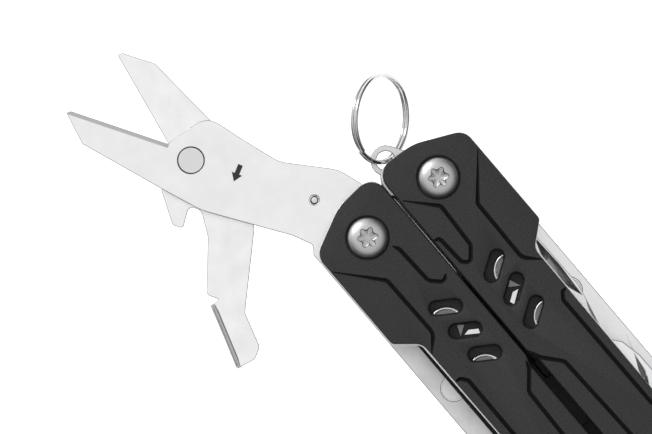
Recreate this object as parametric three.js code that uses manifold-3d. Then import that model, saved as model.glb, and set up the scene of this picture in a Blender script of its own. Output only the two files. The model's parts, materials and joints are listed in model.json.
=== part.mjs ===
// A folding pliers multi tool, closed, with its scissors swung out and a split key ring on its eye.
// Millimetres, +Z up. The tool lies on the heads of its four rear nuts. The origin is the centre of
// the left butt nut's flat head, +X runs along the handles towards the pliers pivot, and +Y runs from
// the left handle to the right one.
import * as THREE from "three";
import { mergeVertices } from "three/addons/utils/BufferGeometryUtils.js";
import Module from "manifold-3d";

const wasm = await Module();
wasm.setup();

// Driving dimensions
const handlePitch = 16.6; // between the two handles' pivot lines
const pivotSpan = 64; // from a handle's butt pivot to its far pivot
const seamSide = 8.05; // from a pivot line to the handle's inner edge
const seamStep = 7.4; // and to where that edge steps back, from seamStepX on
const seamStepX = 35;
const wideSide = 9; // from a pivot line to the outer edge where the scale is wide
const slimSide = 4.85; // and where it is slim
const jawPivotX = 47;
const tangReach = pivotSpan - jawPivotX;
const jawHalf = 2.3; // half the thickness of the pliers head
const linerInner = 6.1; // heights above the mid-plane
const linerOuter = 7;
const scaleInner = 7.05;
const scaleOuter = 8.4;
const headSeat = 7.95;
const headTop = 9.7;
const nutHeadInner = 8.45;
const restHeight = 9.5; // from the rear nut heads' faces up to the mid-plane
const frontTool = [3.4, 5.6]; // the layers that the folding tools lie in
const rearTool = [-5.9, -3.4];
const plateLayer = [4.75, 5.9];
const leverLayer = [3.35, 4.5];
const flangeLow = 2.55;
const lugLayer = [4.65, 5.65];
const sleeveRadius = 2.2; // the barrel nut that every tool turns on
const turningBore = 2.3;
const fixedBore = 2.26;
const spacerRadius = 3;
const washerRadius = 4.4;
const headRadius = 3.6;
const shankRadius = 1.2;

const slotLength = 5.8;
const slotWidth = 2.4;
const slotPitch = 5.4;
const slotStart = 18.5;
const slotSide = -2.6;
const slotLean = THREE.MathUtils.degToRad(-56.7);
const linerRivet = [30.6, 5.4];
const linerRivetRadius = 2.2;

const shearPivot = [-31, -15];
const shearRivetRadius = 2.3;
const springPin = [-11.3, -2.8];
const springPinRadius = 0.8;

const lugEye = [-8.4, -5.1]; // from the right butt pivot
const lugEyeRadius = 2.8;
const lugHoleRadius = 1.7;
const ringRadius = 7.8;
const ringWire = [0.8, 1.4]; // across the ring, and along its axis
const ringTilt = THREE.MathUtils.degToRad(53);
const ringDown = new THREE.Vector3(0.706, -0.708, 0); // from the ring's centre towards the eye
const ringAtEye = THREE.MathUtils.degToRad(20);

const circleSteps = 32;
const slotEndSteps = 8;
const stepTurn = THREE.MathUtils.degToRad(11); // the turn of a rounded corner's one step

// Finishes
const finish = (color, roughness, metalness) => () =>
  new THREE.MeshStandardMaterial({ color, roughness, metalness });
const blackCoat = finish(0x2e2e2f, 0.6, 0.2);
const satinSteel = finish(0xd6d6d4, 0.35, 1);
const linerSteel = finish(0xb9babb, 0.4, 1);
const darkSteel = finish(0x85868a, 0.4, 1);
const fastenerSteel = finish(0xa6a6a6, 0.4, 1);
const brightWire = finish(0xcfcfcf, 0.15, 1);

// Outlines: lists of Vector2
const point = (x, y) => new THREE.Vector2(x, y);

// Corners are [x, y, radius]; a corner without a radius stays sharp.
function outline(corners, fixedSteps) {
  const points = [];
  corners.forEach(([x, y, radius = 0], i) => {
    const here = point(x, y);
    if (!radius) {
      points.push(here);
      return;
    }
    const before = corners[(i + corners.length - 1) % corners.length];
    const after = corners[(i + 1) % corners.length];
    const back = point(before[0], before[1]).sub(here);
    const on = point(after[0], after[1]).sub(here);
    const half = Math.acos(back.dot(on) / back.length() / on.length()) / 2;
    const most = 0.49 * Math.min(back.length(), on.length());
    const cut = Math.min(radius / Math.tan(half), most);
    const start = here.clone().add(back.setLength(cut));
    const end = here.clone().add(on.setLength(cut));
    const curve = new THREE.QuadraticBezierCurve(start, here, end);
    const steps = fixedSteps ?? Math.max(2, Math.round((Math.PI - 2 * half) / stepTurn));
    points.push(...curve.getPoints(steps));
  });
  return points;
}

function arc(x, y, radius, from, to, steps) {
  const points = [];
  for (let i = 0; i <= steps; i++) {
    const angle = THREE.MathUtils.degToRad(from + ((to - from) * i) / steps);
    points.push(point(x + radius * Math.cos(angle), y + radius * Math.sin(angle)));
  }
  return points;
}

const circle = (x, y, radius, steps = circleSteps) =>
  arc(x, y, radius, 0, 360 - 360 / steps, steps - 1);

function slot(x, y, length, width, lean) {
  const r = width / 2;
  const reach = length / 2 - r;
  const degrees = THREE.MathUtils.radToDeg(lean);
  const dx = reach * Math.cos(lean);
  const dy = reach * Math.sin(lean);
  return [
    ...arc(x + dx, y + dy, r, degrees - 90, degrees + 90, slotEndSteps),
    ...arc(x - dx, y - dy, r, degrees + 90, degrees + 270, slotEndSteps),
  ];
}

// Solids
function plate(points, [low, high], holes = []) {
  const shape = new THREE.Shape(points);
  shape.holes = holes.map((hole) => new THREE.Path(hole));
  const geometry = new THREE.ExtrudeGeometry(shape, { depth: high - low, bevelEnabled: false });
  return geometry.translate(0, 0, low);
}

// A profile of [radius, height] turned about Z.
function turned(profile, steps = circleSteps) {
  const points = profile.map(([r, z]) => point(r, z));
  return new THREE.LatheGeometry(points, steps).rotateX(Math.PI / 2);
}

const washer = (inner, outer, [low, high]) =>
  plate(circle(0, 0, outer), [low, high], [circle(0, 0, inner)]);

function toSolid(geometry) {
  const bare = geometry.clone();
  bare.deleteAttribute("normal");
  bare.deleteAttribute("uv");
  const merged = mergeVertices(bare, 1e-4);
  return new wasm.Manifold(
    new wasm.Mesh({
      numProp: 3,
      vertProperties: merged.getAttribute("position").array,
      triVerts: new Uint32Array(merged.index.array),
    }),
  );
}

function toGeometry(solid) {
  const mesh = solid.getMesh();
  const geometry = new THREE.BufferGeometry();
  geometry.setAttribute("position", new THREE.BufferAttribute(mesh.vertProperties, 3));
  geometry.setIndex(new THREE.BufferAttribute(mesh.triVerts, 1));
  geometry.computeVertexNormals();
  return geometry;
}

const join = (first, ...others) =>
  toGeometry(others.reduce((sum, other) => sum.add(toSolid(other)), toSolid(first)));
const cut = (first, ...others) =>
  toGeometry(others.reduce((sum, other) => sum.subtract(toSolid(other)), toSolid(first)));

function node(group, name, geometry, material, place = [0, 0, 0]) {
  const mesh = new THREE.Mesh(geometry, material());
  mesh.name = name;
  mesh.position.set(...place);
  group.add(mesh);
  return mesh;
}

// Handle outlines in [x, outward] of one handle; outward is away from the seam.
const butt = (side) => [
  [-8.1, -seamSide, 3.2],
  [-7.5, 0.4, 6],
  [-3.4, side, 3],
];

function handleOutline(outer, slim) {
  const isNotched = slim < outer;
  const edge = isNotched
    ? [[17.3, outer, 1], [20.8, slim, 2]]
    : [[pivotSpan - 6, outer, 1]];
  const farArc = arc(pivotSpan, 0, seamSide, isNotched ? 34 : 62, -66, 12);
  return outline([
    ...butt(outer),
    ...edge,
    ...farArc.map((at) => [at.x, at.y]),
    [seamStepX + 1.2, -seamStep, 2],
    [seamStepX - 1.2, -seamSide, 2],
  ]);
}

const slots = () =>
  [0, 1, 2].map((i) =>
    slot(slotStart + i * slotPitch, slotSide, slotLength, slotWidth, slotLean),
  );
const boresAt = (radius) => [circle(0, 0, radius), circle(pivotSpan, 0, radius)];

function frontScale() {
  const shape = handleOutline(wideSide, slimSide);
  const holes = slots();
  const lower = plate(shape, [scaleInner, headSeat - 0.05], [...holes, ...boresAt(1.5)]);
  const upper = plate(shape, [headSeat - 0.05, scaleOuter], [...holes, ...boresAt(3.95)]);
  return join(lower, upper);
}

function rearScale() {
  const shape = handleOutline(wideSide - 0.5, slimSide - 0.1);
  const pocket = circle(...linerRivet, linerRivetRadius + 0.1);
  const lower = plate(shape, [-scaleOuter, -scaleInner - 0.6], boresAt(fixedBore));
  const upper = plate(shape, [-scaleInner - 0.6, -scaleInner], [...boresAt(fixedBore)]);
  const hole = plate(pocket, [-scaleInner - 0.6, -scaleInner + 1]);
  return cut(join(lower, upper), hole);
}

const frontLiner = () =>
  plate(handleOutline(wideSide + 0.15, slimSide + 0.25), [linerInner, linerOuter], [
    ...slots(),
    ...boresAt(fixedBore),
  ]);

const rearLiner = () =>
  plate(handleOutline(wideSide, wideSide), [-linerOuter, -linerInner], [
    circle(...linerRivet, linerRivetRadius + 0.08),
    ...boresAt(fixedBore),
  ]);

// Fasteners: a domed six-lobe screw that threads into a flat-headed barrel nut.
function screw() {
  const dome = [
    [headRadius, headSeat],
    [headRadius, headSeat + 0.7],
    [headRadius - 0.45, headSeat + 1.25],
    [headRadius - 1.3, headTop - 0.1],
    [0, headTop],
  ];
  const body = turned([[0, -6.5], [shankRadius, -6.5], [shankRadius, headSeat], ...dome]);
  const lobes = [];
  for (let i = 0; i < 36; i++) {
    const angle = (i * Math.PI) / 18;
    const r = 1.62 + 0.24 * Math.cos(6 * angle);
    lobes.push(point(r * Math.cos(angle), r * Math.sin(angle)));
  }
  return cut(body, plate(lobes, [headTop - 1.3, headTop + 1]));
}

const nut = () =>
  turned([
    [0, -restHeight],
    [headRadius, -restHeight],
    [headRadius, -nutHeadInner],
    [sleeveRadius, -nutHeadInner],
    [sleeveRadius, linerOuter - 0.1],
    [shankRadius + 0.1, linerOuter - 0.1],
    [shankRadius + 0.1, -7],
    [0, -7],
  ]);

const linerRivetBody = () => plate(circle(0, 0, linerRivetRadius), [-7.5, -linerInner]);

// Mirrors an outline's outward side, which turns a left piece into a right one.
function mirrored(geometry) {
  const flipped = geometry.clone().scale(1, -1, 1);
  const index = flipped.index ? flipped.index.array : null;
  if (index) {
    for (let i = 0; i < index.length; i += 3) {
      [index[i + 1], index[i + 2]] = [index[i + 2], index[i + 1]];
    }
    return flipped;
  }
  const position = flipped.getAttribute("position").array;
  for (let i = 0; i < position.length; i += 9) {
    for (let k = 3; k < 6; k++) {
      [position[i + k], position[i + k + 3]] = [position[i + k + 3], position[i + k]];
    }
  }
  return flipped;
}

// Pliers jaw about its own pivot: nose towards -X and +Y, tang towards +X and -Y.
function jaw() {
  const tangY = -handlePitch / 2;
  const lap = 7.2;
  const nose = outline([
    [-7, 0.15],
    [-10.5, 0.15],
    [-10.9, 0.5],
    [-12.5, 0.15],
    [-14.2, 0.15],
    [-15.6, 1.5, 1.2],
    [-18.4, 1.5, 1.2],
    [-19.8, 0.15],
    [-31, 0.15],
    [-31.2, 1.5, 0.6],
    [-29.8, 2.5, 1],
    [-21, 4.4, 3],
    [-13, 6.1, 3],
    [-7.2, 6.3, 1],
  ], 4);
  const tang = [
    point(tangReach - 4.4, tangY + 6.3),
    ...arc(tangReach, tangY, 4.3, 75, -140, 8),
  ];
  const profile = [
    ...nose,
    ...arc(0, 0, lap - 0.1, 125, 0, 6),
    point(8.6, -0.2),
    ...tang,
    ...arc(0, 0, lap - 0.1, -65, -178, 6),
  ];
  const body = plate(profile, [-jawHalf, jawHalf], [
    circle(0, 0, 2.7, 20),
    circle(tangReach, tangY, turningBore, 20),
  ]);
  return cut(body, plate(circle(0, 0, lap + 0.05, 32), [-0.05, jawHalf + 1]));
}

const jawRivet = () =>
  turned([
    [0, -jawHalf - 0.5],
    [3.6, -jawHalf - 0.5],
    [3.6, -jawHalf - 0.05],
    [2.6, -jawHalf - 0.05],
    [2.6, jawHalf + 0.05],
    [3.6, jawHalf + 0.05],
    [3.6, jawHalf + 0.5],
    [0, jawHalf + 0.5],
  ]);

// Scissors, about the left butt pivot
function scissorsPlate() {
  const profile = outline([
    [-51.6, -25.6, 0.3],
    [-35.8, -16.1, 0.3],
    [-36.1, -15.6, 0.3],
    [-35.1, -7.6, 4],
    [-27.5, -5.4, 4],
    [-20.6, -3.1, 5],
    [-12.6, 4.1, 6],
    [-5.5, 6.3, 4],
    [2, 7, 4],
    [7, 1, 5],
    [4, -7.6, 4],
    [-2.2, -9.3, 0.8],
    [-3.9, -9.3, 0.5],
    [-5.4, -8.2, 0.8],
    [-9, -9.9, 3],
    [-23, -19.4, 12],
    [-31, -22.5, 8],
    [-45.8, -27.9, 0.6],
    [-52, -26.5, 0.4],
  ]);
  return plate(profile, plateLayer, [
    circle(0, 0, turningBore),
    circle(...shearPivot, shearRivetRadius + 0.1),
    circle(...springPin, springPinRadius + 0.1, 12),
  ]);
}

function scissorsLever() {
  const profile = outline([
    [-53.9, -12.8],
    [-53.7, -11.9, 0.3],
    [-48.4, -8.6, 1.5],
    [-33.5, -7.6, 3],
    [-27.6, -8.2, 3],
    [-21.2, -10.9, 3],
    [-14.4, -14.2, 1],
    [-5.2, -24, 1],
    [-3.9, -25.3, 0.6],
    [2.4, -27.2, 1.5],
    [3.5, -29.4, 1.5],
    [2.7, -32.8, 0.5],
    [-9, -29.1],
    [-8.8, -27.2, 0.3],
    [-10.9, -28.5, 1.2],
    [-18.6, -21.6, 3],
    [-23, -19.4, 1.6],
    [-25, -20.6, 1],
    [-22.6, -24, 0.8],
    [-24.4, -25, 0.8],
    [-30.4, -22.5, 1.5],
    [-35.4, -18, 3],
    [-36.1, -16.1, 0.5],
  ]);
  const blade = plate(profile, leverLayer, [circle(...shearPivot, shearRivetRadius + 0.1)]);
  const flange = outline([[-9.1, -29.25], [2.8, -32.95], [3.1, -31.95], [-8.8, -28.25]]);
  return join(blade, plate(flange, [flangeLow, leverLayer[0] + 0.4]));
}

const shearRivet = () =>
  turned([
    [0, leverLayer[0] - 0.5],
    [3, leverLayer[0] - 0.5],
    [3, leverLayer[0] - 0.05],
    [shearRivetRadius, leverLayer[0] - 0.05],
    [shearRivetRadius, plateLayer[1]],
    [0, plateLayer[1]],
  ]);

// A leaf that starts at its pin and bears on the lever beside the shear rivet.
function returnSpring() {
  const layer = [leverLayer[0] + 0.1, leverLayer[1] - 0.05];
  const [x, y] = springPin;
  const eye = plate(circle(x, y, 1.6, 12), layer, [circle(x, y, springPinRadius + 0.1, 12)]);
  const spine = new THREE.QuadraticBezierCurve(
    point(x - 1.2, y - 0.2),
    point(x - 6, y - 1.2),
    point(-20.6, -9.6),
  );
  const upper = [];
  const lower = [];
  for (let i = 0; i <= 8; i++) {
    const at = spine.getPoint(i / 8);
    const along = spine.getTangent(i / 8);
    const half = 0.3;
    upper.push(point(at.x - along.y * half, at.y + along.x * half));
    lower.unshift(point(at.x + along.y * half, at.y - along.x * half));
  }
  return join(eye, plate([...upper, ...lower], layer));
}

const springPinBody = () =>
  plate(circle(...springPin, springPinRadius, 12), [leverLayer[0] + 0.1, plateLayer[1]]);

// Tools of the right handle, about its butt pivot and its far pivot
function knife() {
  const profile = outline([
    [-5.6, -3, 3],
    [-5.6, 4, 3],
    [1, 6.8, 3],
    [31, 7.2, 10],
    [44, 4.2, 8],
    [55.5, -1.6],
    [47, -4.8, 8],
    [15, -5, 0.5],
    [13.4, -3.8, 0.8],
    [11.6, -3.8, 0.8],
    [10, -5.8, 1.5],
    [-2, -6.2, 3],
  ]);
  const grind = new THREE.BoxGeometry(50, 9, 2).rotateX(0.17).translate(40, -5.2, -3.2);
  const body = plate(profile, rearTool, [circle(0, 0, turningBore)]);
  return cut(body, grind);
}

const canOpener = () =>
  plate(
    outline([
      [-22.4, 4.6],
      [-20.4, 6.2, 0.5],
      [-16.5, 7, 1.5],
      [-3, 7.1, 5],
      [6, 4.4, 3],
      [6.2, -4, 4],
      [-4, -5.6, 4],
      [-11, -0.4, 4],
      [-16, 1.4, 1.5],
      [-17.6, 3.4, 0.8],
    ]),
    frontTool,
    [circle(0, 0, turningBore)],
  );

const phillipsDriver = () =>
  plate(
    outline([
      [-31, 1],
      [-29, 3, 0.5],
      [-10, 3.2, 2],
      [-3, 6, 4],
      [6, 4.4, 3],
      [6.2, -4, 4],
      [-4, -5.4, 4],
      [-9, -0.6, 2],
      [-29, -0.6, 0.5],
    ]),
    rearTool,
    [circle(0, 0, turningBore)],
  );

// The eye that the key ring hangs on, about the right butt pivot
function lanyardLug() {
  const [x, y] = lugEye;
  const lean = Math.atan2(y, x);
  const reach = Math.hypot(x, y);
  const arm = slot(x / 2, y / 2, reach + 2 * lugEyeRadius, 2 * lugEyeRadius, lean);
  const body = join(plate(circle(0, 0, washerRadius), lugLayer), plate(arm, lugLayer));
  const bores = [circle(0, 0, turningBore), circle(x, y, lugHoleRadius)];
  return cut(body, ...bores.map((bore) => plate(bore, [lugLayer[0] - 1, lugLayer[1] + 1])));
}

// The ring's own axes: down points at the eye, side leans away below the mid-plane.
function keyRing() {
  const side = new THREE.Vector3(-ringDown.y, ringDown.x, 0).multiplyScalar(Math.cos(ringTilt));
  side.z = -Math.sin(ringTilt);
  const down = ringDown.clone().normalize();
  const normal = new THREE.Vector3().crossVectors(down, side).normalize();
  const [across, along] = ringWire;
  const section = [
    [ringRadius - across / 2, -along / 2 + 0.2],
    [ringRadius - across / 4, -along / 2],
    [ringRadius + across / 4, -along / 2],
    [ringRadius + across / 2, -along / 2 + 0.2],
    [ringRadius + across / 2, along / 2 - 0.2],
    [ringRadius + across / 4, along / 2],
    [ringRadius - across / 4, along / 2],
    [ringRadius - across / 2, along / 2 - 0.2],
    [ringRadius - across / 2, -along / 2 + 0.2],
  ];
  const geometry = turned(section, 48);
  geometry.applyMatrix4(new THREE.Matrix4().makeBasis(down, side, normal));
  const toEye = down
    .clone()
    .multiplyScalar(Math.cos(ringAtEye))
    .add(side.clone().multiplyScalar(Math.sin(ringAtEye)));
  return { geometry, toEye: toEye.multiplyScalar(ringRadius) };
}

// Assembly
function handle(side, group) {
  const turn = side === "left" ? mirrored : (geometry) => geometry;
  node(group, side + "_front_scale", turn(frontScale()), blackCoat);
  node(group, side + "_rear_scale", turn(rearScale()), blackCoat);
  node(group, side + "_front_liner", turn(frontLiner()), linerSteel);
  node(group, side + "_rear_liner", turn(rearLiner()), linerSteel);
  const rivetY = side === "left" ? -linerRivet[1] : linerRivet[1];
  node(group, side + "_liner_rivet", linerRivetBody(), linerSteel, [linerRivet[0], rivetY, 0]);
  for (const [end, x] of [["butt", 0], ["far", pivotSpan]]) {
    node(group, side + "_" + end + "_screw", screw(), fastenerSteel, [x, 0, 0]);
    node(group, side + "_" + end + "_nut", nut(), fastenerSteel, [x, 0, 0]);
  }
}

const tool = new THREE.Group();
tool.position.z = restHeight;
const leftHandle = new THREE.Group();
const rightHandle = new THREE.Group();
rightHandle.position.y = handlePitch;
tool.add(leftHandle, rightHandle);
handle("left", leftHandle);
handle("right", rightHandle);

const spacer = (layer) => washer(turningBore, spacerRadius, layer);
const thickWasher = (layer) => washer(turningBore, washerRadius, layer);
const farEnd = [pivotSpan, 0, 0];
node(leftHandle, "left_butt_spacer", spacer([-6, plateLayer[0] - 0.1]), linerSteel);
node(rightHandle, "right_butt_spacer", spacer([rearTool[1] + 0.1, lugLayer[0] - 0.1]), linerSteel);
node(leftHandle, "left_far_front_spacer", thickWasher([2.4, 6]), linerSteel, farEnd);
node(leftHandle, "left_far_rear_washer", thickWasher([-3.3, -2.4]), linerSteel, farEnd);
node(rightHandle, "right_far_front_washer", thickWasher([2.4, 3.3]), linerSteel, farEnd);
node(rightHandle, "right_far_rear_spacer", thickWasher([-6, -2.4]), linerSteel, farEnd);

const pliers = new THREE.Group();
pliers.position.set(jawPivotX, handlePitch / 2, 0);
tool.add(pliers);
node(pliers, "left_jaw", jaw(), darkSteel);
node(pliers, "right_jaw", jaw(), darkSteel).rotation.x = Math.PI;
node(pliers, "jaw_pivot_rivet", jawRivet(), fastenerSteel);

node(leftHandle, "scissors_plate", scissorsPlate(), satinSteel);
node(leftHandle, "scissors_lever", scissorsLever(), satinSteel);
node(leftHandle, "scissors_rivet", shearRivet(), satinSteel, [...shearPivot, 0]);
node(leftHandle, "scissors_spring", returnSpring(), darkSteel);
node(leftHandle, "scissors_spring_pin", springPinBody(), darkSteel);
node(leftHandle, "phillips_driver", mirrored(phillipsDriver()), darkSteel, farEnd);

node(rightHandle, "knife_blade", knife(), satinSteel);
node(rightHandle, "can_opener", canOpener(), satinSteel, farEnd);
node(rightHandle, "lanyard_lug", lanyardLug(), satinSteel);

const ring = keyRing();
const eyeMiddle = (lugLayer[0] + lugLayer[1]) / 2;
const ringCentre = new THREE.Vector3(...lugEye, eyeMiddle).sub(ring.toEye);
node(rightHandle, "key_ring", ring.geometry, brightWire, ringCentre.toArray());

export default tool;
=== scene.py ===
"""The looks of the multi tool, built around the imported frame.

Sizes below are in millimetres in the frame's own axes: +X along the closed handles towards the pliers
pivots, +Y from the left handle to the right one, +Z up. They become metres as vertices are made.
"""
import json
import math

import bmesh
import bpy
from mathutils import Matrix, Vector

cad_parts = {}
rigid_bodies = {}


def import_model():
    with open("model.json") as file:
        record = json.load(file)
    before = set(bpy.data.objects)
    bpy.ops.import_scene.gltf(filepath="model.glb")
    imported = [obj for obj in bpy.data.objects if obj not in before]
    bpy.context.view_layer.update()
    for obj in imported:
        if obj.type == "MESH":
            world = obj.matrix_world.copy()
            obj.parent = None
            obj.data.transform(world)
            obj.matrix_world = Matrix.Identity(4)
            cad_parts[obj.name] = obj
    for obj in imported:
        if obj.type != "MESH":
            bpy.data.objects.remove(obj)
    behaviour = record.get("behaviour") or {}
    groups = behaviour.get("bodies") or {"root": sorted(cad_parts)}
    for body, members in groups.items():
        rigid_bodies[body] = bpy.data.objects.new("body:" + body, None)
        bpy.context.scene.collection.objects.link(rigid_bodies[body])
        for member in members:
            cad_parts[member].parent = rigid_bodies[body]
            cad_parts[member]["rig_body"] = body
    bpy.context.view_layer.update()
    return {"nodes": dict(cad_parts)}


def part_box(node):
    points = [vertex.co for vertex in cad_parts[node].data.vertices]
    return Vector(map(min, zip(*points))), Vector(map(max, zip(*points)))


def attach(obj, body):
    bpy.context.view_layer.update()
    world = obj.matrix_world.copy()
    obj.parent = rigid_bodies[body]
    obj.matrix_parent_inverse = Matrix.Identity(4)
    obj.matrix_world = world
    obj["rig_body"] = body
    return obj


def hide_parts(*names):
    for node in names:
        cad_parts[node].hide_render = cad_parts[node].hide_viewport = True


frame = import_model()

MM = 0.001
nodes = frame["nodes"]


def low(node):
    """A CAD node's lowest corner, in millimetres."""
    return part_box(node)[0] / MM


def high(node):
    """A CAD node's highest corner, in millimetres."""
    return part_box(node)[1] / MM


def middle(node):
    return (low(node) + high(node)) / 2


# Places taken from the frame
LEFT_PIVOT = middle("left_butt_nut")
RIGHT_PIVOT = middle("right_butt_nut")
FAR_X = middle("left_far_nut").x
SCALE_LOW = low("left_front_scale").z
SCALE_TOP = high("left_front_scale").z
BACK_TOP = high("left_rear_scale").z
BACK_LOW = low("left_rear_scale").z
PLATE_TOP = high("scissors_plate").z
LEVER_TOP = high("scissors_lever").z

# Handle sizes, as [x, outward] from a butt pivot; outward is away from the seam
SEAM_SIDE = 8.05
SEAM_STEP = 7.4
WIDE_SIDE = 9.0
SLIM_SIDE = 4.85
SLOT_CENTRES = [(18.5, -2.6), (23.9, -2.6), (29.3, -2.6)]
SLOT_SIZE = (5.8, 2.4)
SLOT_LEAN = math.radians(-56.7)
SCALE_EDGE = 0.35
GROOVE_HALF = 0.4
GROOVE_DEPTH = 0.5

# Camera, which looks down from far away, so that the view is nearly without perspective
VIEW_ROLL = math.radians(49.61)
VIEW_LEAN = Vector((0.01224, -0.02671, 1.0)).normalized()
VIEW_TARGET = Vector((-7.67, -3.14, 13.5))
VIEW_DISTANCE = 1622.7
FOCAL_OVER_WIDTH = 13.9115
SENSOR = 36.0


# ---------------------------------------------------------------- outlines

def outline(corners):
    """Corners are (x, y) or (x, y, radius); each radius becomes an arc of about 8 degrees a step."""
    points = []
    count = len(corners)
    for i, corner in enumerate(corners):
        here = Vector(corner[:2])
        radius = corner[2] if len(corner) > 2 else 0
        if not radius:
            points.append(here)
            continue
        back = Vector(corners[i - 1][:2]) - here
        on = Vector(corners[(i + 1) % count][:2]) - here
        half = back.angle(on) / 2
        most = 0.49 * min(back.length, on.length)
        cut = min(radius / math.tan(half), most)
        radius = cut * math.tan(half)
        start = here + back.normalized() * cut
        end = here + on.normalized() * cut
        centre = here + (back.normalized() + on.normalized()).normalized() * math.hypot(radius, cut)
        first = start - centre
        turn = math.pi - 2 * half
        steps = max(2, round(math.degrees(turn) / 8))
        sign = 1 if first.x * (end - centre).y - first.y * (end - centre).x > 0 else -1
        for k in range(steps + 1):
            points.append(centre + spin(first, sign * turn * k / steps))
    return points


def spin(vector, angle):
    """A flat vector turned by an angle."""
    c = math.cos(angle)
    s = math.sin(angle)
    return Vector((vector.x * c - vector.y * s, vector.x * s + vector.y * c))


def arc(centre, radius, start, end, steps):
    """Points from start to end, in degrees."""
    points = []
    for k in range(steps + 1):
        angle = math.radians(start + (end - start) * k / steps)
        points.append(Vector(centre[:2]) + radius * Vector((math.cos(angle), math.sin(angle))))
    return points


def circle(centre, radius, steps=64):
    return arc(centre, radius, 0, 360 - 360 / steps, steps - 1)


def slot_loop(centre, length, width, lean, steps=14):
    """A slot with round ends, whose length leans by an angle."""
    r = width / 2
    reach = spin(Vector((length / 2 - r, 0)), lean)
    lean_deg = math.degrees(lean)
    here = Vector(centre[:2])
    return arc(here + reach, r, lean_deg - 90, lean_deg + 90, steps) + arc(
        here - reach, r, lean_deg + 90, lean_deg + 270, steps
    )


def area_of(points):
    """The loop's area, which is negative when it runs clockwise."""
    return sum(
        points[i - 1].x * points[i].y - points[i].x * points[i - 1].y for i in range(len(points))
    ) / 2


def inset(points, distance):
    """The same loop moved inwards by distance, or outwards when it is negative."""
    sign = 1 if area_of(points) > 0 else -1
    moved = []
    for i, here in enumerate(points):
        before = (here - points[i - 1]).normalized()
        after = (points[(i + 1) % len(points)] - here).normalized()
        normal = Vector((-(before.y + after.y), before.x + after.x))
        if normal.length < 1e-6:
            moved.append(here.copy())
            continue
        normal.normalize()
        lean = max(0.5, normal.dot(Vector((-before.y, before.x))))
        moved.append(here + normal * (sign * distance / lean))
    return moved


# ---------------------------------------------------------------- meshes

def vert(bm, point, z):
    """A vertex over a point at a height, both in millimetres."""
    return bm.verts.new((point.x * MM, point.y * MM, z * MM))


def closed(bm, rings):
    """Joins rings of equal length into one closed mesh, with its two ends capped."""
    for lower, upper in zip(rings, rings[1:]):
        for i in range(len(lower)):
            bm.faces.new((lower[i - 1], lower[i], upper[i], upper[i - 1]))
    bm.faces.new(rings[0])
    bm.faces.new(rings[-1])
    bmesh.ops.recalc_face_normals(bm, faces=bm.faces)
    return bm


def loft(levels):
    """A closed mesh through loops of equal length: levels are (points, height)."""
    bm = bmesh.new()
    return closed(bm, [[vert(bm, p, z) for p in points] for points, z in levels])


def prism(points, bottom, top):
    return loft([(points, bottom), (points, top)])


def rounded_plate(points, bottom, top, edge, steps=3):
    """A plate whose top and bottom edges are rounded by edge."""
    levels = []
    for k in range(steps + 1):
        angle = math.pi / 2 * k / steps
        levels.append((inset(points, edge * (1 - math.sin(angle))), bottom + edge * (1 - math.cos(angle))))
    for k in range(steps + 1):
        angle = math.pi / 2 * k / steps
        levels.append((inset(points, edge * (1 - math.cos(angle))), top - edge * (1 - math.sin(angle))))
    return loft(levels)


def turned(profile, centre, steps=64):
    """A profile of (radius, height) turned about a vertical axis; it starts and ends on the axis."""
    bm = bmesh.new()
    rings = []
    for r, z in profile:
        if r == 0:
            rings.append([vert(bm, centre, z)])
        else:
            rings.append([vert(bm, p, z) for p in circle(centre, r, steps)])
    for lower, upper in zip(rings, rings[1:]):
        for i in range(steps):
            if len(lower) == 1:
                bm.faces.new((lower[0], upper[i], upper[i - 1]))
            elif len(upper) == 1:
                bm.faces.new((lower[i - 1], lower[i], upper[0]))
            else:
                bm.faces.new((lower[i - 1], lower[i], upper[i], upper[i - 1]))
    bmesh.ops.recalc_face_normals(bm, faces=bm.faces)
    return bm


def groove_bar(path, half_width, depth, top, taper=0.25):
    """A bar with a V section that follows a path on a face at height top. Its ends taper."""
    rim = top + 0.002
    above = top + 0.4
    bm = bmesh.new()
    sections = []
    last = len(path) - 1
    for i, here in enumerate(path):
        before = (here - path[max(i - 1, 0)]).normalized()
        after = (path[min(i + 1, last)] - here).normalized()
        along = (before + after).normalized()
        side = Vector((-along.y, along.x))
        share = taper if i in (0, last) else 1
        wide = side * half_width * share
        left, right = here + wide, here - wide
        sections.append([
            vert(bm, left, rim),
            vert(bm, left, above),
            vert(bm, right, above),
            vert(bm, right, rim),
            vert(bm, here, top - depth * share),
        ])
    return closed(bm, sections)


def rounded_bar(path, half_width, height, base, taper=0.6, steps=12):
    """A bar with a half-round top that follows a path; its ends taper."""
    bm = bmesh.new()
    rings = []
    last = len(path) - 1
    for i, at in enumerate(path):
        along = (path[min(i + 1, last)] - path[max(i - 1, 0)]).normalized()
        side = Vector((-along.y, along.x))
        size = taper if i in (0, last) else 1
        ring = []
        for j in range(steps + 1):
            angle = math.pi * j / steps
            p = at + side * (half_width * size * math.cos(angle))
            ring.append(vert(bm, p, base + height * size * math.sin(angle)))
        rings.append(ring)
    return closed(bm, rings)


def to_mesh(bm, name):
    """Turns a bmesh into mesh data, and frees it."""
    mesh = bpy.data.meshes.new(name)
    bm.to_mesh(mesh)
    bm.free()
    return mesh


def new_object(name, bm):
    obj = bpy.data.objects.new(name, to_mesh(bm, name))
    bpy.context.scene.collection.objects.link(obj)
    return obj


def merged(parts):
    """One bmesh that holds several."""
    whole = bmesh.new()
    for part in parts:
        mesh = to_mesh(part, "part")
        whole.from_mesh(mesh)
        bpy.data.meshes.remove(mesh)
    return whole


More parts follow.
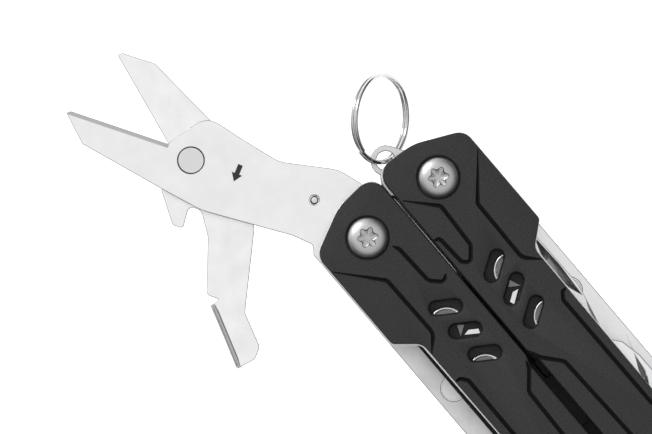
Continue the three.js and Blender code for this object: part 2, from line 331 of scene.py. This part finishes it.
def combine(obj, other_bm, operation="DIFFERENCE"):
    """Cuts other_bm out of obj, or joins it on, and keeps the result as obj's mesh."""
    other = new_object("cutter", other_bm)
    tool = obj.modifiers.new("cut", "BOOLEAN")
    tool.operation = operation
    tool.object = other
    tool.solver = "EXACT"
    apply_modifiers(obj)
    other_mesh = other.data
    bpy.data.objects.remove(other)
    bpy.data.meshes.remove(other_mesh)


def apply_modifiers(obj):
    """Keeps what an object's modifiers make as its own mesh."""
    bpy.context.view_layer.update()
    evaluated = obj.evaluated_get(bpy.context.evaluated_depsgraph_get())
    mesh = bpy.data.meshes.new_from_object(evaluated)
    obj.modifiers.clear()
    old = obj.data
    obj.data = mesh
    bpy.data.meshes.remove(old)


def soften(obj, width, segments=2, angle=30, top_only=False):
    """Rounds an object's sharp edges, or only those of its top face, and shades it smooth."""
    bm = bmesh.new()
    bm.from_mesh(obj.data)
    bmesh.ops.remove_doubles(bm, verts=bm.verts, dist=1e-6)
    bmesh.ops.dissolve_limit(
        bm, angle_limit=math.radians(0.6), verts=bm.verts, edges=bm.edges, delimit=set()
    )
    sharp = [
        e for e in bm.edges if len(e.link_faces) == 2 and e.calc_face_angle(0) > math.radians(angle)
    ]
    if top_only:
        top = max(v.co.z for v in bm.verts) - 1e-5
        sharp = [e for e in sharp if e.verts[0].co.z > top and e.verts[1].co.z > top]
    bmesh.ops.bevel(
        bm, geom=sharp, offset=width * MM, offset_type="OFFSET", segments=segments,
        profile=0.5, affect="EDGES", clamp_overlap=False,
    )
    bm.to_mesh(obj.data)
    bm.free()
    shade(obj, 50)
    weigh_normals(obj)


def weigh_normals(obj):
    """Keeps large faces flat where they meet rounded edges."""
    tool = obj.modifiers.new("normals", "WEIGHTED_NORMAL")
    tool.weight = 100
    tool.keep_sharp = True
    apply_modifiers(obj)


def shade(obj, angle=35):
    """Shades smooth, but for edges sharper than an angle in degrees."""
    mesh = obj.data
    mesh.polygons.foreach_set("use_smooth", [True] * len(mesh.polygons))
    mesh.set_sharp_from_angle(angle=math.radians(angle))


def finish_piece(obj, body, slot, material, *replaced):
    """Gives a piece its material, puts it on its body, and hides what it stands for; slot is not used."""
    obj.data.materials.clear()
    obj.data.materials.append(material)
    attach(obj, body)
    if replaced:
        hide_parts(*replaced)


def mark_faces(obj, material, wanted):
    """Gives the faces that wanted is true of a material of their own."""
    obj.data.materials.append(material)
    for face in obj.data.polygons:
        if wanted(face):
            face.material_index = len(obj.data.materials) - 1


def mark_leaning(obj, material, steepest=0.12, flattest=0.97):
    """Marks faces by how far they look up: chamfers, nicks and ground edges."""
    mark_faces(obj, material, lambda face: steepest < face.normal.z < flattest)


# ---------------------------------------------------------------- materials

class Shader:
    """A Principled material with a few shortcuts to its nodes."""

    def __init__(self, name, **sockets):
        self.material = bpy.data.materials.new(name)
        self.material.use_nodes = True
        self.tree = self.material.node_tree
        self.principled = self.tree.nodes["Principled BSDF"]
        for key, value in sockets.items():
            self.principled.inputs[key.replace("_", " ")].default_value = value

    def node(self, kind, **inputs):
        made = self.tree.nodes.new(kind)
        for key, value in inputs.items():
            made.inputs[key.replace("_", " ")].default_value = value
        return made

    def link(self, source, target):
        self.tree.links.new(source, target)

    def place(self, scale, lean=0.0):
        """Object coordinates, turned about Z by lean and stretched."""
        coordinates = self.node("ShaderNodeTexCoord")
        mapping = self.node("ShaderNodeMapping", Rotation=(0, 0, lean), Scale=scale)
        self.link(coordinates.outputs["Object"], mapping.inputs["Vector"])
        return mapping.outputs["Vector"]

    def noise(self, place, scale=1.0, detail=3.0, roughness=0.6):
        made = self.node("ShaderNodeTexNoise", Scale=scale, Detail=detail, Roughness=roughness)
        self.link(place, made.inputs["Vector"])
        return made.outputs["Fac"]

    def ramp(self, value, stops):
        """Greys by value: stops are two of (value, grey)."""
        made = self.node("ShaderNodeValToRGB")
        elements = made.color_ramp.elements
        for element, (place, grey) in zip(elements, stops):
            element.position = place
            element.color = (grey, grey, grey, 1)
        self.link(value, made.inputs["Fac"])
        return made.outputs["Color"]

    def span(self, value, least, most):
        """The value from 0 to 1, stretched to least and most."""
        made = self.node("ShaderNodeMapRange", To_Min=least, To_Max=most)
        self.link(value, made.inputs["Value"])
        return made.outputs["Result"]

    def bump(self, height, strength, distance):
        made = self.node("ShaderNodeBump", Strength=strength, Distance=distance)
        self.link(height, made.inputs["Height"])
        self.link(made.outputs["Normal"], self.principled.inputs["Normal"])


def coated_black(name, grey):
    """Matte, very finely textured coating."""
    s = Shader(name, Metallic=0.0, Specular_IOR_Level=0.3)
    fine = s.noise(s.place((1, 1, 1)), scale=3800, detail=4)
    broad = s.noise(s.place((1, 1, 1)), scale=160, detail=3)
    s.link(s.ramp(fine, [(0.36, grey * 0.66), (0.64, grey * 1.36)]), s.principled.inputs["Base Color"])
    s.link(s.span(broad, 0.5, 0.64), s.principled.inputs["Roughness"])
    s.bump(fine, 0.9, 0.00015)
    return s.material


def brushed_steel(name, grey, rough, lean, grain=0.2, spread=0.06):
    """Steel with fine grinding lines along lean."""
    s = Shader(name, Metallic=1.0)
    lines = s.noise(s.place((60, 9000, 9000), -lean), detail=4, roughness=0.7)
    cloud = s.noise(s.place((1, 1, 1)), scale=220, detail=3)
    s.link(s.ramp(cloud, [(0.3, grey - spread / 2), (0.7, grey + spread / 2)]),
           s.principled.inputs["Base Color"])
    s.link(s.span(lines, rough - 0.07, rough + 0.1), s.principled.inputs["Roughness"])
    s.bump(lines, grain, 0.00001)
    return s.material


def blasted_steel(name, grey, rough):
    """Steel with a fine, even, satin surface."""
    s = Shader(name, Metallic=1.0)
    fine = s.noise(s.place((1, 1, 1)), scale=6500, detail=3)
    cloud = s.noise(s.place((1, 1, 1)), scale=300, detail=3)
    s.link(s.ramp(cloud, [(0.3, grey * 0.95), (0.7, grey * 1.04)]), s.principled.inputs["Base Color"])
    s.link(s.span(fine, rough - 0.05, rough + 0.07), s.principled.inputs["Roughness"])
    s.bump(fine, 0.18, 0.00002)
    return s.material


def polished_wire():
    """Bright, slightly smeared spring wire."""
    s = Shader("bright_wire", Metallic=1.0)
    smear = s.noise(s.place((1, 1, 1)), scale=900, detail=3)
    s.link(s.ramp(smear, [(0.3, 0.52), (0.7, 0.62)]), s.principled.inputs["Base Color"])
    s.link(s.span(smear, 0.07, 0.16), s.principled.inputs["Roughness"])
    return s.material


def etched_mark_and_shade():
    """Dark and dull: for etched marks, and as painted shade for what lies deep inside and round the spring
    pin.
    """
    s = Shader("etched_mark_and_shade", Metallic=0.2, Specular_IOR_Level=0.2)
    speck = s.noise(s.place((1, 1, 1)), scale=7000, detail=3)
    s.link(s.ramp(speck, [(0.3, 0.02), (0.7, 0.06)]), s.principled.inputs["Base Color"])
    s.link(s.span(speck, 0.55, 0.75), s.principled.inputs["Roughness"])
    return s.material


BLACK = coated_black("black_coat", 0.029)
# Painted shade: a blacker coat for the scale's rounded edges, groove walls and slot lips, which stand in
# shade
PAINTED_SHADE_BLACK = coated_black("black_painted_shade", 0.008)
PLATE_STEEL = brushed_steel("scissor_steel", 0.84, 0.30, math.radians(26))
LEVER_STEEL = brushed_steel("lever_steel", 0.86, 0.30, math.radians(-40), 0.3, 0.09)
REAR_STEEL = brushed_steel("rear_liner_steel", 0.68, 0.34, 0.0, 0.35, 0.12)
BLADE_STEEL = brushed_steel("blade_steel", 0.82, 0.28, 0.0)
LINER_STEEL = brushed_steel("liner_steel", 0.76, 0.32, 0.0)
RIVET_STEEL = blasted_steel("rivet_steel", 0.70, 0.40)
SCREW_STEEL = blasted_steel("screw_steel", 0.50, 0.36)
# Painted shade: near-black steel for parts deep inside the handles (jaws, driver, springs, the dark bar) and
# for the screw sockets' walls, so that slots, gaps and sockets look shaded
PAINTED_SHADE_STEEL = blasted_steel("painted_shade_steel", 0.02, 0.5)
RIM_STEEL = blasted_steel("rim_steel", 0.75, 0.22)
# Painted shade: dark grey steel for what lies deep inside the slots
PAINTED_SHADE_DISC_STEEL = blasted_steel("disc_painted_shade", 0.20, 0.40)
# Painted shade: darker steel for the rounded edges and nicks of steel pieces, so that their bevels look dark
PAINTED_SHADE_EDGE_STEEL = blasted_steel("edge_painted_shade", 0.36, 0.45)
GRIND_STEEL = blasted_steel("grind_steel", 0.56, 0.35)
# Painted shade: darker steel for the lever's rolled edge
PAINTED_SHADE_FLANGE_STEEL = blasted_steel("flange_painted_shade", 0.42, 0.14)
WIRE = polished_wire()
MARK_AND_SHADE = etched_mark_and_shade()


# ---------------------------------------------------------------- handles

def handle_place(side):
    """Maps [x, outward] onto the frame for one handle."""
    sign = -1 if side == "left" else 1
    pivot = LEFT_PIVOT if side == "left" else RIGHT_PIVOT
    return lambda p: Vector((p[0] + pivot.x, pivot.y + sign * p[1]))


def on_handle(side, points):
    """Points of [x, outward], laid on one handle."""
    return [handle_place(side)(p) for p in points]


def scale_outline(step=SEAM_STEP):
    """The outline of a scale, which steps back from the seam beyond its slots."""
    far = arc((FAR_X, 0), SEAM_SIDE, 34, -70, 26)
    corners = [
        (-8.1, -SEAM_SIDE, 3.2),
        (-7.5, 0.4, 9),
        (-3.4, WIDE_SIDE, 3),
        (17.3, WIDE_SIDE, 1.2),
        (20.8, SLIM_SIDE, 2.4),
        *[(p.x, p.y) for p in far],
        (FAR_X - 4, -step, 1),
        (36.2, -step, 2),
        (34.2, -SEAM_SIDE, 2),
    ]
    return outline(corners)


OUTER_GROOVES = [
    [(0.6, 8.75), (8.1, 2.3, 1.2), (20.6, 2.1, 2.2), (23.4, 4.9)],
    [(29.7, 4.9), (29.9, 3.7, 0.6), (31.1, 2.8, 0.8), (55.5, 2.9, 1.5), (58, 4.9)],
]
SEAM_GROOVES = {
    "left": [
        [(4.0, -2.4), (5.2, -3.0, 1.0), (12.9, -3.3, 1.6), (14.9, -5.3, 0.8), (13.9, -6.5)],
        [(35.0, -7.3), (36.4, -6.9, 1.5), (39.6, -4.1, 1.5), (58.3, -3.5, 1.5), (61.2, -7.3)],
    ],
    "right": [
        [(-1.0, -7.6), (4.2, -2.95, 1.2), (12.9, -3.4, 1.6), (15.3, -5.4, 1.0), (14.2, -6.6, 0.8),
         (8.5, -6.9, 0.7), (8.0, -8.1)],
        [(33.4, -8.1), (36.2, -7.0, 2.5), (39.6, -4.1, 1.5), (58.3, -3.5, 1.5), (61.2, -7.3)],
    ],
}

def open_path(corners):
    """A path through corners, with its ends left where they are."""
    return outline([corners[0][:2], *corners[1:-1], corners[-1][:2]])


def front_scale(side):
    """The scale that the photo shows, with its grooves, slots and screw seats."""
    body = on_handle(side, scale_outline())
    levels = [(inset(body, 0.1), SCALE_LOW), (body, SCALE_LOW + 0.1)]
    for k in range(4):
        angle = math.pi / 2 * k / 3
        levels.append((inset(body, SCALE_EDGE * (1 - math.cos(angle))),
                       SCALE_TOP - SCALE_EDGE * (1 - math.sin(angle))))
    scale = new_object(side + "_scale_cover", loft(levels))
    for groove in OUTER_GROOVES + SEAM_GROOVES[side]:
        path = on_handle(side, open_path(groove))
        combine(scale, groove_bar(path, GROOVE_HALF, GROOVE_DEPTH, SCALE_TOP))
    for centre in SLOT_CENTRES:
        loop = on_handle(side, slot_loop(centre, *SLOT_SIZE, SLOT_LEAN))
        combine(scale, loft([
            (inset(loop, 0.05), SCALE_LOW - 1),
            (inset(loop, 0.05), SCALE_TOP - 0.8),
            (inset(loop, -0.08), SCALE_TOP - 0.35),
            (inset(loop, -0.26), SCALE_TOP - 0.1),
            (inset(loop, -0.5), SCALE_TOP + 0.02),
            (inset(loop, -0.5), SCALE_TOP + 1),
        ]))
    seat = SCALE_TOP - 0.5
    for centre in on_handle(side, ((0, 0), (FAR_X, 0))):
        combine(scale, turned([(0, SCALE_LOW - 1), (1.5, SCALE_LOW - 1), (1.5, seat), (3.8, seat),
                               (3.95, SCALE_TOP - 0.1), (4.15, SCALE_TOP + 0.02),
                               (4.15, SCALE_TOP + 1), (0, SCALE_TOP + 1)], centre))
    shade(scale, 28)
    finish_piece(scale, side + "_handle", "black_coat", BLACK, side + "_front_scale")
    # Painted shade: the leaning faces of edges, grooves and slot lips get the blacker coat
    mark_leaning(scale, PAINTED_SHADE_BLACK, -0.1, 0.85)


def back_scale(side):
    """The plain scale on the other face. It nearly closes the seam, so that no table shows through."""
    body = on_handle(side, [(p.x, -SEAM_SIDE - 0.24 if p.y < -7.9 else p.y - 0.15)
                            for p in scale_outline(SEAM_SIDE - 0.05)])
    levels = [(inset(body, SCALE_EDGE), BACK_LOW),
              (inset(body, SCALE_EDGE * 0.3), BACK_LOW + SCALE_EDGE * 0.3),
              (body, BACK_LOW + SCALE_EDGE),
              (body, BACK_TOP)]
    scale = new_object(side + "_back_cover", loft(levels))
    for centre in on_handle(side, ((0, 0), (FAR_X, 0))):
        combine(scale, prism(circle(centre, 2.3), BACK_LOW - 1, BACK_TOP + 1))
    shade(scale, 28)
    finish_piece(scale, side + "_handle", "black_coat", BLACK, side + "_rear_scale")


ARC_PLACES = [(21.2, -0.6), (32.1, -0.5)]
ARC_RADIUS = 3.2


def slot_studs(side):
    """What shows through the slots: two arcs with grey inside them, a small wedge, and a dark floor; the
    grey and the dark floor are painted shade.
    """
    base = SCALE_LOW - 0.85
    rims = []
    discs = []
    for centre in ARC_PLACES:
        rim_path = on_handle(side, arc(centre, ARC_RADIUS, 168, 274, 24))
        disc_loop = on_handle(side, arc(centre, ARC_RADIUS - 0.1, 172, 270, 24))
        rims.append(rounded_bar(rim_path, half_width=0.31, height=0.45, base=base + 0.1))
        discs.append(prism(disc_loop, base, base + 0.2))
    strip = on_handle(side, ((24.4, -2.0), (26.0, -4.3), (25.2, -4.6), (24.2, -3.1)))
    facet = on_handle(side, ((22.2, -2.1), (23.0, -3.1), (24.2, -1.3)))
    rims.append(prism(strip, base, base + 0.5))
    discs.append(prism(facet, base, base + 0.4))
    corners = [(14.5, -6.6, 1), (14.5, 2, 1), (33.5, 2, 1), (33.5, -6.6, 1)]
    floor_loop = on_handle(side, outline(corners))
    pieces = (
        ("rims", merged(rims), RIM_STEEL, "liner_steel"),
        ("discs", merged(discs), PAINTED_SHADE_DISC_STEEL, "dark_steel"),
        # Painted shade: a dark sheet under the slots, so that they look deep
        ("floor", prism(floor_loop, base - 0.25, base - 0.1), MARK_AND_SHADE, "dark_steel"),
    )
    for name, bm, material, slot in pieces:
        piece = new_object(side + "_slot_" + name, bm)
        shade(piece)
        finish_piece(piece, side + "_handle", slot, material)


for handle_side in ("left", "right"):
    front_scale(handle_side)
    back_scale(handle_side)
    slot_studs(handle_side)


# ---------------------------------------------------------------- screws

SOCKET_MEAN = 1.58
SOCKET_WAVE = 0.3
SOCKET_CHAMFER = 0.17
SCREW_SEAT = SCALE_TOP - 0.45
SHANK_RADIUS = 1.2


def six_lobes(centre, mean, wave, steps=96):
    """A loop whose radius swells and shrinks six times around."""
    points = []
    for k in range(steps):
        angle = 2 * math.pi * k / steps
        r = mean + wave * math.cos(6 * angle)
        points.append(Vector(centre[:2]) + r * Vector((math.cos(angle), math.sin(angle))))
    return points


def screw(node, body):
    """A domed head with a six-lobe socket, on its shank."""
    centre = middle(node)
    top = high(node).z
    bottom = low(node).z
    radius = (high(node) - low(node)).x / 2
    dome_low = SCREW_SEAT + 0.45
    profile = [(0, SCREW_SEAT), (radius - 0.15, SCREW_SEAT), (radius, SCREW_SEAT + 0.15), (radius, dome_low)]
    for k in range(1, 13):
        angle = math.pi / 2 * k / 12
        r = radius * math.cos(angle) ** 0.75 if k < 12 else 0
        profile.append((r, dome_low + (top - dome_low) * math.sin(angle)))
    head = new_object(node + "_head", turned(profile, centre, 96))
    lobes = six_lobes(centre, SOCKET_MEAN, SOCKET_WAVE)
    wide = six_lobes(centre, SOCKET_MEAN + SOCKET_CHAMFER, SOCKET_WAVE)
    combine(head, loft([(six_lobes(centre, 0.3, 0.0), top - 1.75), (lobes, top - 1.35),
                        (lobes, top - 0.2), (wide, top), (wide, top + 1)]))
    shank = turned([(0, bottom), (SHANK_RADIUS - 0.1, bottom), (SHANK_RADIUS, bottom + 0.1),
                    (SHANK_RADIUS, SCREW_SEAT + 0.05), (0, SCREW_SEAT + 0.05)], centre, 32)
    combine(head, shank, "UNION")
    shade(head)
    finish_piece(head, body, "fastener_steel", SCREW_STEEL, node)

    def in_socket(face):
        reach = (Vector(face.center.xy) / MM - centre.xy).length
        return abs(face.normal.z) < 0.9 and 0.5 < reach < 2.15 and face.center.z > SCREW_SEAT * MM

    # Painted shade: the socket's steep walls are made near-black
    mark_faces(head, PAINTED_SHADE_STEEL, in_socket)


screw("left_butt_screw", "left_handle")
screw("right_butt_screw", "right_handle")
screw("left_far_screw", "pliers")
screw("right_far_screw", "right_far_bolt")


# ---------------------------------------------------------------- steel pieces

def finished_copy(node, material, slot, edge, shaded_edge_material=None, segments=2, cuts=(), grind=None,
                  top_only=False):
    """A CAD node's own shape, with cuts made first, its edges rounded next, and grind taken off last."""
    source = nodes[node]
    copy = bpy.data.objects.new(node + "_finished", source.data.copy())
    bpy.context.scene.collection.objects.link(copy)
    for shape in cuts:
        combine(copy, shape)
    soften(copy, edge, segments, top_only=top_only)
    if grind:
        combine(copy, grind)
        weigh_normals(copy)
    finish_piece(copy, source["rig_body"], slot, material, node)
    # Painted shade: the leaning faces (bevels and nicks) get the darker material
    if shaded_edge_material:
        mark_leaning(copy, shaded_edge_material)
    return copy


def nick(side, corners, top, depth):
    """A cutter for a V-shaped nick in a tool's face."""
    loop = on_handle(side, outline(corners))
    start = handle_place(side)(corners[0])
    along = (max(loop, key=lambda p: (p - start).length) - start).normalized()
    valley = []
    for p in loop:
        spine = start + along * (p - start).dot(along)
        valley.append(p.lerp(spine, 0.9).lerp(start + along * 3, 0.04))
    return loft([(valley, top - depth), (loop, top), (loop, top + 0.5)])


def seam_cutter(side, bottom, top, start):
    """Takes a liner back from the seam beyond start, where the photo's gap is dark."""
    end = FAR_X + 3
    loop = on_handle(side, ((start, -9), (start, -7.9), (start + 1, -7.1), (end, -7.1), (end, -9)))
    return prism(loop, bottom - 1, top + 1)


def blade_grind():
    """Takes the top corner off the fixed blade along its cutting edge."""
    tip, root = Vector((-52.3, -26.0)), Vector((-35.9, -16.15))
    along = (root - tip).normalized()
    inward = Vector((along.y, -along.x))
    bm = bmesh.new()
    ends = []
    for at in (tip - along, root + along * 0.2):
        section = []
        for reach, rise in ((-0.5, 0.6), (0.8, 0.01), (-0.5, -0.45)):
            section.append(vert(bm, at + inward * reach, PLATE_TOP + rise))
        ends.append(section)
    return closed(bm, ends)


plate = finished_copy("scissors_plate", PLATE_STEEL, "satin_steel", 0.13, PAINTED_SHADE_EDGE_STEEL, grind=blade_grind())
mark_leaning(plate, GRIND_STEEL, 0.935, 0.955)
finished_copy("scissors_lever", LEVER_STEEL, "satin_steel", 0.13, PAINTED_SHADE_EDGE_STEEL, top_only=True)
finished_copy("scissors_rivet", RIVET_STEEL, "satin_steel", 0.06, PAINTED_SHADE_EDGE_STEEL)
finished_copy("scissors_spring", PAINTED_SHADE_STEEL, "dark_steel", 0.04)
# Painted shade: the pin's rounded rim gets the dark material, for the dark ring round it
finished_copy("scissors_spring_pin", RIVET_STEEL, "dark_steel", 0.25, MARK_AND_SHADE, segments=3)
KNIFE_TOP = high("knife_blade").z
OPENER_TOP = high("can_opener").z
finished_copy("knife_blade", BLADE_STEEL, "satin_steel", 0.12, PAINTED_SHADE_EDGE_STEEL, cuts=[
    nick("right", [(19.7, 6.6), (23.5, 5.2, 6), (29, 5.2, 6), (32.4, 6.4), (26, 6.8, 12)], KNIFE_TOP, 0.66),
    nick("right", [(32.4, 7.3), (35.5, 5.7, 4), (40, 4.2, 4), (43, 3.9), (38.5, 6.2, 5)], KNIFE_TOP, 0.3),
])
finished_copy("can_opener", BLADE_STEEL, "satin_steel", 0.2, PAINTED_SHADE_EDGE_STEEL, cuts=[
    nick("right", [(47.6, 6.1), (50.5, 4.7, 3), (53.2, 4.3), (50.6, 5.7, 3)], OPENER_TOP, 0.4),
])
finished_copy("phillips_driver", PAINTED_SHADE_STEEL, "dark_steel", 0.2)
finished_copy("lanyard_lug", RIVET_STEEL, "satin_steel", 0.16, PAINTED_SHADE_EDGE_STEEL)
for handle_side in ("left", "right"):
    finished_copy(handle_side + "_jaw", PAINTED_SHADE_STEEL, "dark_steel", 0.12)
    finished_copy(handle_side + "_front_liner", LINER_STEEL, "liner_steel", 0.08,
                  cuts=[seam_cutter(handle_side, SCALE_LOW - 2, SCALE_LOW,
                                    15.5 if handle_side == "left" else -3)])
    finished_copy(handle_side + "_rear_liner", REAR_STEEL if handle_side == "left" else PLATE_STEEL,
                  "liner_steel", 0.15, PAINTED_SHADE_EDGE_STEEL,
                  cuts=[seam_cutter(handle_side, BACK_TOP, BACK_TOP + 2, -3)])
    finished_copy(handle_side + "_liner_rivet", LINER_STEEL, "liner_steel", 0.08, PAINTED_SHADE_EDGE_STEEL)
    finished_copy(handle_side + "_butt_nut", SCREW_STEEL, "fastener_steel", 0.15)
    finished_copy(handle_side + "_far_nut", SCREW_STEEL, "fastener_steel", 0.15)
    finished_copy(handle_side + "_butt_spacer", LINER_STEEL, "liner_steel", 0.1)
for spacer in ("left_far_front_spacer", "left_far_rear_washer", "right_far_front_washer",
               "right_far_rear_spacer"):
    finished_copy(spacer, LINER_STEEL, "liner_steel", 0.1)
finished_copy("jaw_pivot_rivet", PAINTED_SHADE_STEEL, "fastener_steel", 0.15)


def thumb_flange():
    """The rolled edge of the lever that the thumb presses. Its darker steel is painted shade, for the edge
    seen nearly side-on.
    """
    start, end = Vector((-8.75, -28.65)), Vector((2.6, -32.3))
    path = [start.lerp(end, k / 8) for k in range(9)]
    bead = rounded_bar(path, half_width=0.43, height=0.22, base=LEVER_TOP - 0.02)
    flange = new_object("thumb_flange", bead)
    shade(flange, 60)
    finish_piece(flange, "lever", "satin_steel", PAINTED_SHADE_FLANGE_STEEL)


thumb_flange()


def painted_shadow_bar():
    """A dark bar inside the left handle along its slim side: painted shadow, for the shade that the front
    liner casts on the rear liner.
    """
    corners = [(18.4, 1), (18.4, 5.6, 1.5), (20.5, 5.35, 3), (58, 5.35, 1), (58, 1)]
    bottom = high("left_rear_liner").z + 0.2
    plate = rounded_plate(on_handle("left", outline(corners)), bottom, bottom + 2.0, 0.2)
    bar = new_object("left_spring_bar", plate)
    shade(bar)
    finish_piece(bar, "left_handle", "dark_steel", PAINTED_SHADE_STEEL)


painted_shadow_bar()


def seam_edge():
    """The left front liner's edge, which shows as a bright line in the seam near the butts."""
    start, length, steps = -2.3, 17.3, 12
    path = on_handle("left", [(start + length * k / steps, -SEAM_SIDE - 0.1) for k in range(steps + 1)])
    edge = new_object("left_seam_edge", rounded_bar(path, half_width=0.11, height=0.3, base=SCALE_LOW - 0.5))
    shade(edge, 60)
    finish_piece(edge, "left_handle", "liner_steel", RIM_STEEL)


seam_edge()


# ---------------------------------------------------------------- key ring

RING_RADIUS = 7.8
RING_TILT = math.radians(53)
RING_DOWN = Vector((0.706, -0.708, 0)).normalized()
WIRE_WIDE = 0.40
WIRE_TALL = 0.36


def key_ring():
    """A wire of two turns that lie against each other, with a step where it crosses over."""
    centre = middle("key_ring")
    side = Vector((-RING_DOWN.y, RING_DOWN.x, 0)) * math.cos(RING_TILT)
    side.z = -math.sin(RING_TILT)
    normal = RING_DOWN.cross(side)
    bm = bmesh.new()
    steps = 360
    section = 12
    rings = []
    first_angle = -38
    for k in range(steps + 1):
        share = k / steps
        angle = math.radians(first_angle + 720 * share)
        step = min(1, max(0, (share - 0.46) / 0.08))
        lift = (step * step * (3 - 2 * step) - 0.5) * 2 * WIRE_TALL * 1.02
        radial = RING_DOWN * math.cos(angle) + side * math.sin(angle)
        ring = []
        for j in range(section):
            a = 2 * math.pi * j / section
            across = math.copysign(abs(math.cos(a)) ** 0.7, math.cos(a)) * WIRE_WIDE
            along = math.copysign(abs(math.sin(a)) ** 0.7, math.sin(a)) * WIRE_TALL
            at = centre + radial * (RING_RADIUS + across) + normal * (lift + along)
            ring.append(bm.verts.new(at * MM))
        rings.append(ring)
    ring = new_object("split_ring", closed(bm, rings))
    shade(ring, 50)
    finish_piece(ring, "ring", "bright_wire", WIRE, "key_ring")


key_ring()


# ---------------------------------------------------------------- arrow mark

def arrow_mark():
    """A plain arrow on the scissors plate that points at the lever."""
    points = [(-0.45, 1.6), (0.45, 1.6), (0.45, -0.1), (1.0, -0.1), (0, -1.6), (-1.0, -0.1),
              (-0.45, -0.1)]
    centre = Vector((-23.9, -10.2))
    loop = [centre + spin(Vector(p), math.radians(27.4)) for p in points]
    mark = new_object("arrow_mark", prism(loop, PLATE_TOP - 0.02, PLATE_TOP + 0.012))
    finish_piece(mark, "scissors", "satin_steel", MARK_AND_SHADE)


arrow_mark()


# ---------------------------------------------------------------- studio

def floor():
    """A pale table that glows as if lit from below, brightest under the tool, as for a cut-out."""
    size = 4000
    corners = [Vector((x, y)) for x, y in ((-size, -size), (size, -size), (size, size), (-size, size))]
    table = new_object("table", prism(corners, -5, -0.02))
    s = Shader("table", Roughness=0.6)
    cloud = s.noise(s.place((1, 1, 1)), scale=3)
    s.link(s.ramp(cloud, [(0.3, 0.93), (0.7, 0.95)]), s.principled.inputs["Base Color"])
    s.principled.inputs["Emission Color"].default_value = (1, 1, 1, 1)
    reach = s.node("ShaderNodeVectorMath")
    reach.operation = "LENGTH"
    s.link(s.place((1, 1, 1)), reach.inputs[0])
    # Painted light: the glow is strongest under the tool and fades further out, which washes out the tool's
    # shadows
    fade = s.node("ShaderNodeMapRange", From_Min=0.12, From_Max=0.4, To_Min=0.75, To_Max=0.1)
    s.link(reach.outputs["Value"], fade.inputs["Value"])
    s.link(fade.outputs["Result"], s.principled.inputs["Emission Strength"])
    table.data.materials.append(s.material)


def area_light(name, place, aim, size, power):
    """A round lamp at a place, turned towards an aim; sizes in millimetres, power in watts."""
    data = bpy.data.lights.new(name, "AREA")
    data.shape = "DISK"
    data.size = size * MM
    data.energy = power
    light = bpy.data.objects.new(name, data)
    light.location = Vector(place) * MM
    light.rotation_euler = (Vector(aim) - Vector(place)).to_track_quat("-Z", "Y").to_euler()
    bpy.context.scene.collection.objects.link(light)


def studio():
    """A white sky overhead, a bright window up and to the left of the view, and one lamp."""
    world = bpy.data.worlds.new("studio")
    bpy.context.scene.world = world
    world.use_nodes = True
    tree = world.node_tree
    background = tree.nodes["Background"]
    coordinates = tree.nodes.new("ShaderNodeTexCoord")
    up = Vector((-math.sin(VIEW_ROLL), math.cos(VIEW_ROLL), 0))
    right = Vector((math.cos(VIEW_ROLL), math.sin(VIEW_ROLL), 0))

    def band(direction, stops):
        """Brightness by how far a direction leans towards another."""
        dot = tree.nodes.new("ShaderNodeVectorMath")
        dot.operation = "DOT_PRODUCT"
        dot.inputs[1].default_value = direction.normalized()
        ramp = tree.nodes.new("ShaderNodeValToRGB")
        while len(ramp.color_ramp.elements) < len(stops):
            ramp.color_ramp.elements.new(0.5)
        for element, (place, grey) in zip(ramp.color_ramp.elements, stops):
            element.position = place
            element.color = (grey, grey, grey, 1)
        tree.links.new(coordinates.outputs["Generated"], dot.inputs[0])
        tree.links.new(dot.outputs["Value"], ramp.inputs["Fac"])
        return ramp.outputs["Color"]

    overhead = band(Vector((0, 0, 1)), [(0.0, 0.02), (0.35, 0.05), (0.62, 0.3), (0.85, 0.97)])
    window = band(up * 0.75 - right * 0.8 + Vector((0, 0, 0.45)), [(0.25, 0.0), (0.55, 0.3), (0.8, 1.0)])
    lighter = tree.nodes.new("ShaderNodeMix")
    lighter.data_type = "RGBA"
    lighter.blend_type = "LIGHTEN"
    lighter.inputs["Factor"].default_value = 1.0
    # Sockets 6 and 7 and output 2 are the ones that carry colours
    tree.links.new(overhead, lighter.inputs[6])
    tree.links.new(window, lighter.inputs[7])
    tree.links.new(lighter.outputs[2], background.inputs["Color"])
    background.inputs["Strength"].default_value = 1.0
    key = up * 300 - right * 300 + Vector((0, 0, 380))
    area_light("key", key, (0, 0, 10), 200, 1.2)


def camera():
    """Looks almost straight down, rolled so that the handles point to the lower right."""
    back = VIEW_LEAN
    right = Vector((math.cos(VIEW_ROLL), math.sin(VIEW_ROLL), 0))
    right = (right - back * right.dot(back)).normalized()
    up = back.cross(right)
    data = bpy.data.cameras.new("camera")
    data.sensor_width = SENSOR
    data.lens = SENSOR * FOCAL_OVER_WIDTH
    data.clip_start = 0.05
    data.clip_end = 20
    made = bpy.data.objects.new("camera", data)
    turn = Matrix((right, up, back)).transposed().to_4x4()
    made.matrix_world = Matrix.Translation((VIEW_TARGET + back * VIEW_DISTANCE) * MM) @ turn
    bpy.context.scene.collection.objects.link(made)
    bpy.context.scene.camera = made


floor()
studio()
camera()
bpy.context.scene.view_settings.view_transform = "Standard"
